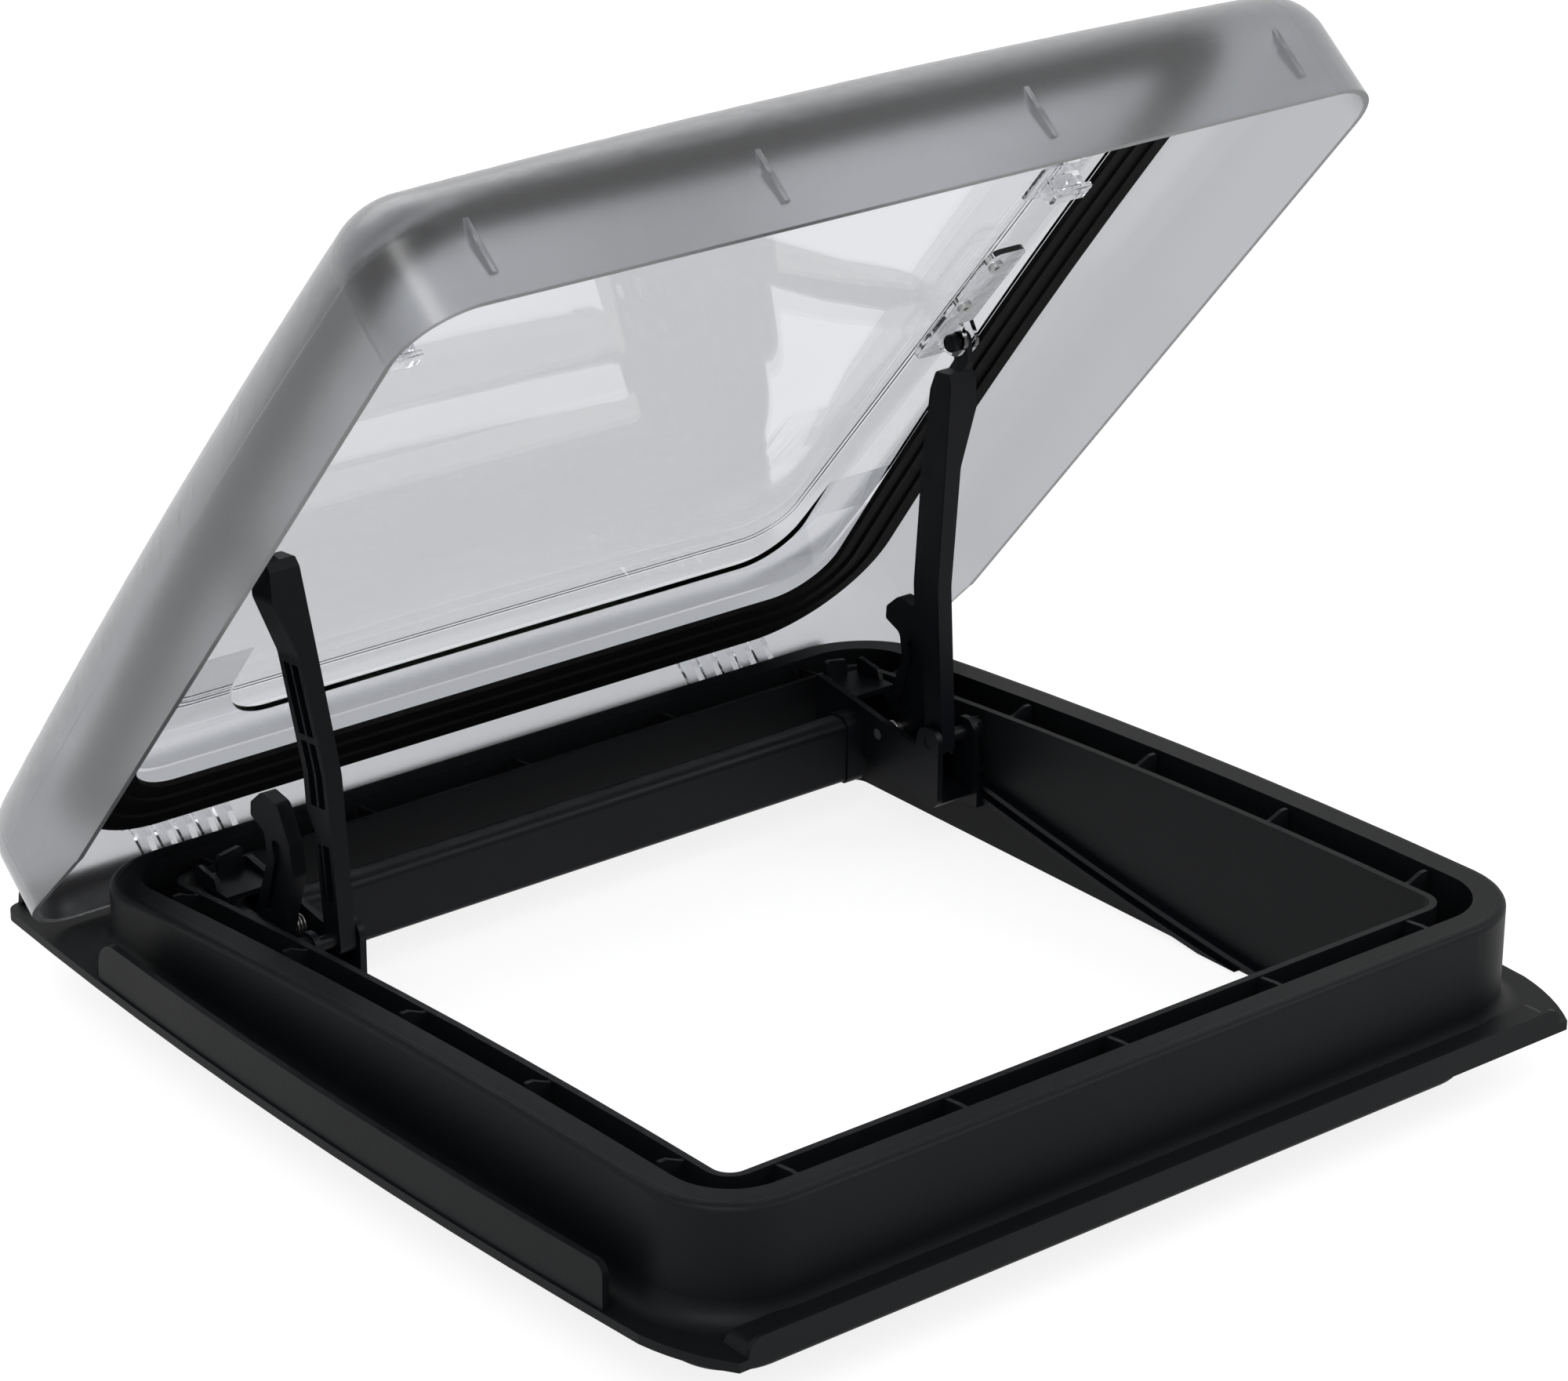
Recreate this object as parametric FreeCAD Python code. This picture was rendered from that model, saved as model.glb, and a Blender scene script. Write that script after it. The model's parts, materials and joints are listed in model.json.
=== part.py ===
import FreeCAD
import Part
import math
import os

from FreeCAD import Vector

# Deck hatch: a coaming frame let into a hole in a roof or deck, with a double-skin lid that two arms
# and a sliding handle bow hold open. Millimetres. X runs along the lid's hinge, +Y points towards
# the hinge and +Z up. The origin is the centre of the opening at the level of the frame's underside.
# The lid stands fully open.

# ---------------------------------------------------------------- opening and frame
cutout = 400.0               # side of the square hole in the deck
spigot_clearance = 2.0       # from the hole's edge to the spigot, each side
spigot_half = cutout / 2 - spigot_clearance
spigot_corner = 26.0         # plan radius of the spigot's corners
spigot_depth = 25.3          # underside of the frame to the underside of its flange
spigot_edge = 4.0            # rounding of the spigot's lower edge
wall = 3.0                   # plastic wall
inner_half = spigot_half - 17.2 # half the clear opening between the inner walls
inner_corner = 8.0
rim_width = 13.3             # flat top of the coaming
rim_height = 65.8            # mean height of the rim, at the middle of the opening
rim_slope = 0.0487           # the rim falls towards the hinge
rim_crown = 5.7              # rise of the side rims at mid length
rim_rounding = 2.6
inner_step = 2.75            # inner wall's top below the rim
joint_gap = 0.2              # between the outer and inner frame
cavity_top = 3.0             # rim thickness over the hollow wall

# ---------------------------------------------------------------- flange
flange_thick = 4.0
flange_side = spigot_half + 35 # half width at the middle of the bowed sides
flange_side_end = spigot_half + 28.5 # half width where the sides meet the corners
flange_rear_end = spigot_half + 25 # half width where the sides meet the rear corners
flange_front = spigot_half + 28.5
flange_back = spigot_half + 52
flange_corner = 15.5         # rounding of the front corners, across
flange_corner_run = 38.0     # and along the sides
flange_rear_corner = 8.0
flange_corner_bulge = 0.52   # how far out the front corners' curve passes, as a share
base_sweep = 9.0             # concave sweep from the coaming to the flange
fin_height = 23.0            # side upstand above the flange underside
fin_thick = 3.0
fin_inset = 1.0              # outer face of the side upstand in from the flange's edge
fin_half_length = spigot_half - 30
fin_rear_radius = 13.0
fin_front_radius = 5.0
front_lip_height = 11.5
front_step_height = 8.0      # thicker flange between the coaming and the front lip
lip_thick = 2.0
front_lip_half = spigot_half + 10
rear_lip_height = 9.6
rear_lip_half = spigot_half + 18

# ---------------------------------------------------------------- gussets and screw bosses
gusset_thick = 2.0
gusset_gap = 2.5             # gusset tips short of the outer frame
gusset_drop = 0.4            # side gussets' tips below the rim
gusset_cross_drop = 2.4      # front and rear gussets' tips below the rim
gusset_crest = 3.6           # level part of a gusset's top, at its tip
gusset_depth = 34.0
gusset_pitch = 80.0
gussets_per_wall = 5
boss_radius = 4.6
boss_height = 16.0
boss_hole = 2.1
boss_spacing_y = 240.0

# ---------------------------------------------------------------- lid
hinge_y = spigot_half + 23.4 # hinge axis, behind the coaming
hinge_rise = 15.5            # hinge axis above the flange underside
open_angle = 50.2
dome_half_x = spigot_half + 38
dome_front = spigot_half + 34
dome_back = spigot_half + 30
dome_corner = 30.0
dome_skirt_gap = 1.2         # closed skirt above the flange underside
dome_back_trim = 8.0        # the rear skirt stops this far above the flange underside
dome_crown_top = 69.0        # crown of the closed lid above the flange underside
dome_crown_radius = 6000.0
crown_pole_tilt = 10.0       # turns the crown's pole and seam off the lid
dome_shoulder = 27.0
dome_thick = 2.6
skirt_rib_thick = 2.5
skirt_rib_depth = 5.5
skirt_rib_height = 24.0
skirt_rib_spacing = 130.0
skirt_rib_bottom = 12.5      # above the flange underside
gasket_inner = spigot_half - 12.4
gasket_outer = spigot_half + 16
gasket_corner = 27.0
gasket_thick = 4.0
gasket_clearance = 0.4       # closed gasket above the rim
pane_thick = 2.4
pane_half = spigot_half - 13.1 # raised middle of the inner pane
pane_corner = 26.0
pane_level = 58.6            # closed underside of the raised middle above the flange underside
pane_step_foot = spigot_half - 12.6 # half size where the step meets the ring
pane_ridges = (16.0, 18.6)    # raised lines on the pane, in from the edge of its raised middle
pane_ridge_width = 1.0
pane_lap = 34.9              # the ring's inner edge in from the raised middle's, before it is hollowed
pane_ridge_height = 0.6
pane_ridge_corner = 4.0      # corner radius of the lines less than the pane's
pane_outer = spigot_half + 15

# ---------------------------------------------------------------- lid hinges
hinge_station = spigot_half - 53 # centre of each hinge from the middle
hinge_pin_radius = 1.6
knuckle_radius = 3.6
knuckle_thick = 3.0
knuckle_pitch = 10.0
knuckles_on_lid = 5
hinge_pin_end = 6.0          # pin past the outer knuckles, each end
running_clearance = 0.05
side_clearance = 0.4

# ---------------------------------------------------------------- arms, brackets and pins
arm_top_y = hinge_y - 110.6  # upper pivot, lid open
arm_top_rise = 204.6
arm_foot_y = hinge_y - 126   # lower pivot, lid open
arm_foot_rise = 29.8
arm_x = inner_half - 26.8    # inner face of the arm's foot
arm_foot_thick = 7.5
arm_foot_front = 4.5         # the foot's front and rear edges from the line of the pivots
arm_foot_rear = 6.5
arm_shank_rear = 11.0
arm_step = 45.0              # from the foot pivot to the step in the rear edge
arm_lean_start = 70.0        # from the foot pivot to where the arm starts to lean outwards
arm_elbow = 122.0            # from the foot pivot to the elbow below the head
arm_elbow_x = inner_half - 10.8
arm_head_inner_x = inner_half - 13.8
arm_head_length = 28.0
arm_eye_x = inner_half - 3.4
arm_eye_thick = 3.0
arm_eye_radius = 4.4
arm_pin_radius = 2.2
arm_pin_head = 3.9
arm_pin_head_length = 3.6
foot_pin_radius = 3.0
foot_pin_head = 5.0
foot_pin_grooves = 10
ear_thick = 2.2
ear_rear_foot = 13.0         # the ears' roots behind and ahead of the pin
ear_front_foot = 9.0
ear_half_tip = 5.0           # the ears' rounded tips round the pin
ear_tip_radius = 4.5
bracket_foot_thick = 2.6
bracket_foot_front = 62.0    # foot ahead of the pin
bracket_foot_rear = 16.0
screw_front = 54.0           # screws ahead of the pin
screw_rear = 24.0
screw_head_radius = 3.3
screw_head_height = 1.9
screw_socket_radius = 1.3
bracket_screw_radius = 1.75

bracket_x = inner_half - 17.8 # inner edge of the bracket's foot
bracket_screw_x = inner_half - 12.3
catch_x = inner_half - 22.8  # inner side of the lid's catch
catch_width = 17.0
catch_y = hinge_y - 327.4    # rear face of the catch, lid closed
catch_depth = 8.5
catch_reach = 12.5           # catch below the pane

# ---------------------------------------------------------------- sliding bow
plate_inner_x = inner_half - 30.4
plate_thick = 3.0
carriage_eye = 6.4           # half size of the eyes round the foot pin
outer_plate_x = inner_half - 9.8
plate_front = hinge_y - 132.4
plate_back = hinge_y - 48.4
plate_front_top = 48.3
plate_back_top = 62.0
plate_front_bottom = 23.5
plate_back_bottom = 39.0
bar_front = hinge_y - 81.2
bar_depth = 15.0
bar_bottom = 22.3
bar_top = 52.2
bar_wall = 2.6
bar_collar = 9.0
hook_x = inner_half - 17.6
hook_thick = 6.6
hook_pivot_y = hinge_y - 91.4
hook_pivot_z = 47.0
hook_top = 109.0
hook_pin_radius = 2.5
spring_wire = 1.1
spring_turns = 4
spring_gap = 0.5             # between the spring's turns
shelf_y = hinge_y - 71.4     # rear shelf with its upright tabs
shelf_z = 55.0

# ---------------------------------------------------------------- guide rails
fold_ratio = -2.35           # turn of the arms on the lid for each turn of the lid
rail_drop = 22.5             # top of the upper ridge below the arm's foot pivot
rail_ease = 1.4              # how far the rail is drawn straighter than the foot's path
rail_overrun = 0.045         # rail past both ends of the travel, as a share of it
rail_end_gap = 1.0           # rail above the underside of the frame
ridge_height = 2.4
ridge_depth = 4.0
ridge_pitch = 6.2
rail_web = 1.2
shoe_play = 1.6              # added to rail_ease on each side, for the slope of the rail
shoe_length = 10.0

# ---------------------------------------------------------------- derived levels
rim_inner = spigot_half + joint_gap
coaming_half = rim_inner + rim_width
rim_inner_corner = spigot_corner + joint_gap
coaming_corner = rim_inner_corner + rim_width
flange_top = spigot_depth + flange_thick
hinge_z = spigot_depth + hinge_rise
hinge_point = Vector(0, hinge_y, hinge_z)
arm_top_z = spigot_depth + arm_top_rise
arm_foot_z = spigot_depth + arm_foot_rise
x_axis = Vector(1, 0, 0)
tall = 400.0                 # above every piece
wide = flange_side + 67.0    # beyond every piece
cross_near = inner_half - 50.8  # these two span every piece beside the right wall
cross_far = inner_half + 19.2
rim_cut_margin = 18.5        # the crowned surface runs on past the coaming


def rim_level(y, lift=0.0):
    """Height of the rim's surface: a fall towards the hinge plus a crown along the sides."""
    crown = rim_crown * (1 - (y / coaming_half) ** 2)
    return rim_height - rim_slope * y + crown + lift


def point(plane, u, v, w):
    """A point of a drawing plane: u and v lie in the plane, w stands along its normal."""
    if plane == "xy":
        return Vector(u, v, w)
    if plane == "yz":
        return Vector(w, u, v)
    return Vector(u, w, v)


def outline(plane, corners, w):
    """Closed wire through corners (u, v, radius), each corner rounded by its radius."""
    count = len(corners)
    starts = []
    ends = []
    mids = []
    for i in range(count):
        u, v, radius = corners[i]
        before = corners[i - 1]
        after = corners[(i + 1) % count]
        here = Vector(u, v, 0)
        back = Vector(before[0], before[1], 0) - here
        ahead = Vector(after[0], after[1], 0) - here
        back.normalize()
        ahead.normalize()
        half = back.getAngle(ahead) / 2
        run = radius / math.tan(half) if radius > 0 else 0.0
        starts.append(here + back * run)
        ends.append(here + ahead * run)
        middle = back + ahead
        if radius > 0:
            middle.normalize()
            mids.append(here + middle * (radius / math.sin(half) - radius))
        else:
            mids.append(None)
    edges = []
    for i in range(count):
        if mids[i] is not None:
            arc = [point(plane, p.x, p.y, w) for p in (starts[i], mids[i], ends[i])]
            edges.append(Part.Arc(*arc).toShape())
        a = point(plane, ends[i].x, ends[i].y, w)
        b_uv = starts[(i + 1) % count]
        b = point(plane, b_uv.x, b_uv.y, w)
        if (b - a).Length > 1e-6:
            edges.append(Part.makeLine(a, b))
    return Part.Wire(edges)


def prism(plane, corners, w0, w1):
    """Solid: a rounded outline drawn at w0 and extruded to w1."""
    face = Part.Face(outline(plane, corners, w0))
    direction = point(plane, 0, 0, w1) - point(plane, 0, 0, w0)
    return face.extrude(direction)


def rounded_block(half_x, half_y, radius, z0, z1, centre_y=0.0):
    corners = [(-half_x, centre_y - half_y, radius), (half_x, centre_y - half_y, radius),
               (half_x, centre_y + half_y, radius), (-half_x, centre_y + half_y, radius)]
    return prism("xy", corners, z0, z1)


def box(x0, x1, y0, y1, z0, z1):
    return Part.makeBox(x1 - x0, y1 - y0, z1 - z0, Vector(x0, y0, z0))


def rod(x0, x1, y, z, radius):
    """Round bar along X."""
    return Part.makeCylinder(radius, x1 - x0, Vector(x0, y, z), x_axis)


def above_rim(lift):
    """Everything above the crowned rim surface, raised by lift."""
    reach = wide
    span = coaming_half + rim_cut_margin
    curve = Part.Arc(Vector(-reach, -span, rim_level(-span, lift)),
                     Vector(-reach, 0, rim_level(0, lift)),
                     Vector(-reach, span, rim_level(span, lift))).toShape()
    top = [Vector(-reach, span, rim_level(span, lift)), Vector(-reach, span, tall),
           Vector(-reach, -span, tall), Vector(-reach, -span, rim_level(-span, lift))]
    lines = [Part.makeLine(top[i], top[i + 1]) for i in range(3)]
    face = Part.Face(Part.Wire([curve] + lines))
    return face.extrude(Vector(2 * reach, 0, 0))


def mirrored(shape):
    return shape.mirror(Vector(0, 0, 0), x_axis)


def opened(shape):
    """Turns a piece of the closed lid to the open position."""
    turned = shape.copy()
    turned.rotate(hinge_point, x_axis, -open_angle)
    return turned


def fused(shapes):
    return shapes[0].multiFuse(shapes[1:]).removeSplitter()


# ================================================================ frame
def side_arc(inset, z):
    """Bowed edge of the right side of the flange, from front to rear."""
    front = -flange_front + flange_corner_run
    rear = flange_back - flange_rear_corner
    return Part.Arc(Vector(flange_side_end - inset, front, z), Vector(flange_side - inset, 0, z),
                    Vector(flange_rear_end - inset, rear, z)).toShape()


def flange_plate():
    """Flange with bowed sides and rounded corners."""
    z = spigot_depth
    right = side_arc(0, z)
    start = right.Vertexes[0].Point
    end = right.Vertexes[-1].Point
    front_end = Vector(start.x - flange_corner, -flange_front, z)
    front_mid = Vector(start.x - flange_corner * (1 - flange_corner_bulge),
                       start.y - flange_corner_run * 0.63, z)
    rear_end = Vector(end.x - flange_rear_corner, flange_back, z)
    bulge = flange_rear_corner * (1 - math.sqrt(0.5))
    rear_mid = Vector(end.x - bulge, flange_back - bulge, z)
    right_side = [Part.Arc(front_end, front_mid, start).toShape(), right,
                  Part.Arc(end, rear_mid, rear_end).toShape()]
    left_side = [mirrored(edge) for edge in right_side]
    front = Part.makeLine(Vector(-front_end.x, front_end.y, z), front_end)
    rear = Part.makeLine(rear_end, Vector(-rear_end.x, rear_end.y, z))
    wire = Part.Wire(Part.__sortEdges__([front, rear] + right_side + left_side))
    return Part.Face(wire).extrude(Vector(0, 0, flange_thick))


def side_fin():
    """Upstand along the right side of the flange, with rounded ends."""
    z = spigot_depth
    outer = side_arc(fin_inset, z)
    inner = side_arc(fin_inset + fin_thick, z)
    closing = [Part.makeLine(outer.Vertexes[0].Point, inner.Vertexes[0].Point),
               Part.makeLine(outer.Vertexes[-1].Point, inner.Vertexes[-1].Point)]
    band = Part.Face(Part.Wire(Part.__sortEdges__([outer, inner] + closing)))
    band = band.extrude(Vector(0, 0, fin_height))
    profile = prism("yz", [(-fin_half_length, z, 0), (fin_half_length, z, 0),
                           (fin_half_length, z + fin_height, fin_rear_radius),
                           (-fin_half_length, z + fin_height, fin_front_radius)], 0, wide)
    return band.common(profile)


def cross_lip(y0, y1, half, height, radius):
    z = spigot_depth
    return prism("xz", [(-half, z, 0), (half, z, 0), (half - radius / 2, z + height, radius),
                        (-half + radius / 2, z + height, radius)], y0, y1)


def frame_hinge_lugs():
    """Lugs on the rear of the coaming that stand between the lid's knuckles, drilled for the pin."""
    lugs = []
    for side in (-1, 1):
        for i in range(knuckles_on_lid + 1):
            x = side * hinge_station + (i - knuckles_on_lid / 2) * knuckle_pitch
            half = (knuckle_pitch - knuckle_thick) / 2 - side_clearance
            low = hinge_z - knuckle_radius
            top = hinge_z + knuckle_radius
            corners = [(coaming_half - 1, low - 3, 0), (hinge_y - 5, low, 3),
                       (hinge_y + knuckle_radius, low, knuckle_radius - 0.2),
                       (hinge_y + knuckle_radius, top, knuckle_radius - 0.2), (coaming_half - 1, top + 2, 0)]
            lugs.append(prism("yz", corners, x - half, x + half))
    return lugs


def hinge_bore():
    length = knuckles_on_lid * knuckle_pitch + 2 * hinge_pin_end + 2
    bore_radius = hinge_pin_radius + running_clearance
    return [rod(side * hinge_station - length / 2, side * hinge_station + length / 2,
                hinge_y, hinge_z, bore_radius) for side in (-1, 1)]


def outer_frame():
    """Flange, hollow coaming wall with its crowned rim, upstands and hinge lugs."""
    z = spigot_depth
    wall_top = rim_level(-coaming_half) + 20
    coaming = rounded_block(coaming_half, coaming_half, coaming_corner, z, wall_top)
    body = coaming.fuse(flange_plate()).removeSplitter()
    body = body.cut(above_rim(0))
    sweep_edges = [edge for edge in body.Edges if is_sweep_edge(edge)]
    body = body.makeFillet(base_sweep, sweep_edges)
    rim_edges = [edge for edge in body.Edges if is_rim_edge(edge)]
    body = body.makeFillet(rim_rounding, rim_edges)
    hollow = rounded_block(coaming_half - wall, coaming_half - wall, coaming_corner - wall, z - 1, wall_top)
    core = rounded_block(rim_inner + wall, rim_inner + wall, rim_inner_corner + wall, z - 2, wall_top + 1)
    hollow = hollow.cut(core).cut(above_rim(-cavity_top))
    opening = rounded_block(rim_inner, rim_inner, rim_inner_corner, z - 2, tall)
    body = body.cut(opening).cut(hollow)
    fin = side_fin()
    extras = [fin, mirrored(fin),
              cross_lip(-flange_front, -flange_front + lip_thick, front_lip_half, front_lip_height, 6),
              cross_lip(-flange_front, -coaming_half, front_lip_half, front_step_height, 6),
              cross_lip(flange_back - fin_thick, flange_back, rear_lip_half, rear_lip_height, 2)]
    body = fused([body] + extras + frame_hinge_lugs())
    for bore in hinge_bore():
        body = body.cut(bore)
    return body


def is_sweep_edge(edge):
    """True for the edges where the coaming stands on the flange."""
    around = edge.BoundBox
    reach = max(around.XMax, -around.XMin, around.YMax, -around.YMin)
    level = max(abs(around.ZMin - flange_top), abs(around.ZMax - flange_top))
    return reach < coaming_half + 0.01 and level < 0.001


def is_rim_edge(edge):
    """True for the outer top edge of the coaming."""
    for vertex in edge.Vertexes:
        p = vertex.Point
        if abs(p.z - rim_level(p.y)) > 0.6:
            return False
    middle = edge.valueAt((edge.FirstParameter + edge.LastParameter) / 2)
    return abs(middle.z - rim_level(middle.y)) < 0.6


def gusset_tip():
    return spigot_half - gusset_gap


def gusset_profile(level, crest):
    """Corners of a gusset across the trough: its top sweeps up from the inner wall's top to the crest."""
    root = inner_half + wall / 2
    tip = gusset_tip()
    return [(root, level - gusset_depth, 0), (tip, level - gusset_depth, 3), (tip, crest, 0.6),
            (tip - gusset_crest, crest, 2), (root + wall, level - 0.4, 2), (root, level - 0.4, 0)]


def inner_wall_level(y):
    return rim_level(y, -inner_step)


def gussets():
    """Gussets along the four inner walls, one at the middle of each."""
    half = gusset_thick / 2
    made = []
    for i in range(gussets_per_wall):
        along = (i - (gussets_per_wall - 1) / 2) * gusset_pitch
        side = gusset_profile(inner_wall_level(along), rim_level(along, -gusset_drop))
        fin = prism("xz", side, along - half, along + half)
        made += [fin, mirrored(fin)]
        for end in (-1, 1):
            crest = rim_level(end * gusset_tip(), -gusset_cross_drop)
            across = gusset_profile(inner_wall_level(end * inner_half), crest)
            corners = [(end * u, v, r) for u, v, r in across]
            made.append(prism("yz", corners, along - half, along + half))
    return made


def inner_frame():
    """Spigot, floor and inner wall in one channel ring, with gussets and screw bosses."""
    outer = rounded_block(spigot_half, spigot_half, spigot_corner, 0, flange_top)
    bottom = [edge for edge in outer.Edges if edge.BoundBox.ZMax < 1e-3]
    outer = outer.makeFillet(spigot_edge, bottom)
    outer = outer.cut(rounded_block(spigot_half - wall, spigot_half - wall, spigot_corner - wall, wall, tall))
    inner = rounded_block(inner_half + wall, inner_half + wall, inner_corner + wall, 0, tall - 1)
    inner = inner.cut(above_rim(-inner_step))
    ring = fused([outer, inner] + gussets())
    ring = ring.cut(rounded_block(inner_half, inner_half, inner_corner, -1, tall))
    middle = (inner_half + wall + spigot_half - wall) / 2
    for side in (-1, 1):
        for end in (-1, 1):
            place = Vector(side * middle, end * boss_spacing_y / 2, 0)
            boss = Part.makeCylinder(boss_radius, boss_height, place)
            hole = Part.makeCylinder(boss_hole, boss_height - wall, place - Vector(0, 0, 1))
            ring = ring.fuse(boss).cut(hole)
    return ring.removeSplitter()


def turned(place, centre, degrees):
    """A place turned about an axis along X through centre."""
    angle = math.radians(degrees)
    y = place.y - centre.y
    z = place.z - centre.z
    return Vector(place.x, centre.y + y * math.cos(angle) - z * math.sin(angle),
                  centre.z + y * math.sin(angle) + z * math.cos(angle))


def foot_path(share):
    """Place of the arm's foot pivot when a share of the closing turn is done."""
    upper = Vector(0, arm_top_y, arm_top_z)
    foot = turned(Vector(0, arm_foot_y, arm_foot_z), upper, share * open_angle * fold_ratio)
    return turned(foot, hinge_point, share * open_angle)


def ridge_point(share, x, offset):
    """Place on a ridge when a share of the closing turn is done: the foot's path, drawn straighter."""
    foot = foot_path(share)
    ease = rail_ease * (8 * share * (1 - share) - 1)
    return Vector(x, foot.y, foot.z - rail_drop + ease - offset)


def rail_curve(offset, x):
    """Path of a ridge, shifted down by offset and run past both ends of the foot's travel."""
    steps = 8
    shares = [-rail_overrun + (1 + 2 * rail_overrun) * i / steps for i in range(steps + 1)]
    curve = Part.BSplineCurve()
    curve.interpolate([ridge_point(share, x, offset) for share in shares])
    return curve.toShape()


def rail_band(offset, height, depth):
    """A strip of the rail: height below offset, depth out from the wall."""
    x = inner_half - 0.1
    upper = rail_curve(offset, x)
    lower = rail_curve(offset + height, x)
    ends = [Part.makeLine(upper.Vertexes[i].Point, lower.Vertexes[i].Point) for i in (0, -1)]
    face = Part.Face(Part.Wire(Part.__sortEdges__([upper, lower] + ends)))
    return face.extrude(Vector(-depth, 0, 0))


def guide_rail():
    """Two parallel ridges on a thin web, fixed to the right inner wall."""
    web = rail_band(0, ridge_pitch + ridge_height, rail_web)
    upper = rail_band(0, ridge_height, ridge_depth)
    lower = rail_band(ridge_pitch, ridge_height, ridge_depth)
    room = box(0, inner_half + 1, -inner_half, inner_half, rail_end_gap, tall)
    return fused([web, upper, lower]).common(room)


def hinge_pin(side):
    length = knuckles_on_lid * knuckle_pitch + 2 * hinge_pin_end
    x = side * hinge_station
    return rod(x - length / 2, x + length / 2, hinge_y, hinge_z, hinge_pin_radius)


# ================================================================ lid, drawn closed
def dome_solid(inset, radius):
    """Outer form of the dome, drawn in from its faces by inset."""
    half_y = (dome_front + dome_back) / 2
    centre_y = (dome_back - dome_front) / 2
    low = spigot_depth + dome_skirt_gap
    block = rounded_block(dome_half_x - inset, half_y - inset, dome_corner - inset,
                          low - inset, tall, centre_y)
    crown_z = spigot_depth + dome_crown_top - inset
    centre = Vector(0, centre_y, crown_z - dome_crown_radius + inset)
    ball = Part.makeSphere(dome_crown_radius - inset, centre)
    ball.rotate(centre, Vector(0, 1, 0), crown_pole_tilt)
    cap = box(-wide, wide, -wide, wide, low - inset - 1, crown_z + 1)
    block = block.common(ball.common(cap))
    top_edges = [edge for edge in block.Edges if edge.BoundBox.ZMin > low + 20]
    return block.makeFillet(radius, top_edges)


def skirt_ribs():
    """Stiffening ribs inside the front and rear skirts."""
    ribs = []
    low = spigot_depth + skirt_rib_bottom
    for i in range(4):
        x = (i - 1.5) * skirt_rib_spacing
        face = -dome_front + dome_thick - 0.5
        corners = [(face, low, 0), (face + skirt_rib_depth * 0.6, low, 1),
                   (face + skirt_rib_depth, low + skirt_rib_height * 0.7, 6),
                   (face, low + skirt_rib_height, 0)]
        ribs.append(prism("yz", corners, x - skirt_rib_thick / 2, x + skirt_rib_thick / 2))
    return ribs


def outer_dome():
    """Tinted dome: crowned top, rounded shoulders and a deep skirt, open underneath."""
    shell = dome_solid(0, dome_shoulder).cut(dome_solid(dome_thick, dome_shoulder - dome_thick))
    low = spigot_depth - 10
    trim_z = spigot_depth + dome_back_trim
    rear = prism("yz", [(dome_back - 90, low, 0), (dome_back + 20, low, 0),
                        (dome_back + 20, trim_z, 0), (dome_back - 12, trim_z, 20),
                        (dome_back - 84, spigot_depth + dome_skirt_gap - 0.5, 20)], -wide, wide)
    shell = shell.cut(rear)
    return fused([shell] + skirt_ribs())


def ring_between(half_in, corner_in, half_out, corner_out, lift0, lift1):
    """Ring that follows the crowned rim, from lift0 to lift1 above it."""
    ring = rounded_block(half_out, half_out, corner_out, 20, tall - 1)
    ring = ring.cut(rounded_block(half_in, half_in, corner_in, 19, tall))
    return ring.common(above_rim(lift0)).cut(above_rim(lift1))


def lid_gasket():
    """Rubber seal between lid and rim: a flat band with two raised lips."""
    low = gasket_clearance
    high = low + gasket_thick
    middle = (gasket_inner + gasket_outer) / 2
    lip = 3.0
    outer_corner = gasket_corner + gasket_outer - gasket_inner
    band = ring_between(gasket_inner, gasket_corner, gasket_outer, outer_corner,
                        low + 1.4, high)
    corner = gasket_corner
    inner_lip = ring_between(middle - 7, corner + middle - 7 - gasket_inner, middle - 7 + lip,
                             corner + middle - 7 + lip - gasket_inner, low, low + 1.6)
    outer_lip = ring_between(middle + 4, corner + middle + 4 - gasket_inner, middle + 4 + lip,
                             corner + middle + 4 + lip - gasket_inner, low, low + 1.6)
    return fused([band, inner_lip, outer_lip])


def pane_shell(grow):
    """Solid under the raised middle of the pane, grown by grow for its upper face."""
    level = spigot_depth + pane_level + grow
    foot = rim_level(-coaming_half) - 6
    foot_corner = pane_corner + pane_step_foot - pane_half + grow
    lower = outline("xy", square_corners(pane_step_foot + grow, foot_corner), foot)
    upper = outline("xy", square_corners(pane_half + grow, pane_corner + grow), level)
    return Part.makeLoft([lower, upper], True)


def pane_ridge_lines():
    """Raised lines round the upper face of the pane's middle."""
    face = spigot_depth + pane_level + pane_thick
    lines = []
    for inset in pane_ridges:
        reach = pane_half - inset
        radius = pane_corner - pane_ridge_corner
        outer = rounded_block(reach, reach, radius, face - 0.2, face + pane_ridge_height)
        reach -= pane_ridge_width
        inner = rounded_block(reach, reach, radius - pane_ridge_width, face - 1, face + 2)
        lines.append(outer.cut(inner))
    return lines


def square_corners(half, radius):
    return [(-half, -half, radius), (half, -half, radius), (half, half, radius), (-half, half, radius)]


def inner_pane():
    """Clear inner skin: a ring over the gasket and a raised, flat middle."""
    under = gasket_clearance + gasket_thick
    ring = ring_between(pane_half - pane_lap, pane_corner, pane_outer, coaming_corner,
                        under, under + pane_thick)
    raised = pane_shell(pane_thick)
    hollow = pane_shell(0)
    body = ring.fuse(raised.common(above_rim(under))).cut(hollow)
    lid_rear = box(-wide, wide, coaming_half - 0.5, wide, 0, tall)
    return fused([body.cut(lid_rear)] + pane_ridge_lines())


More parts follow.
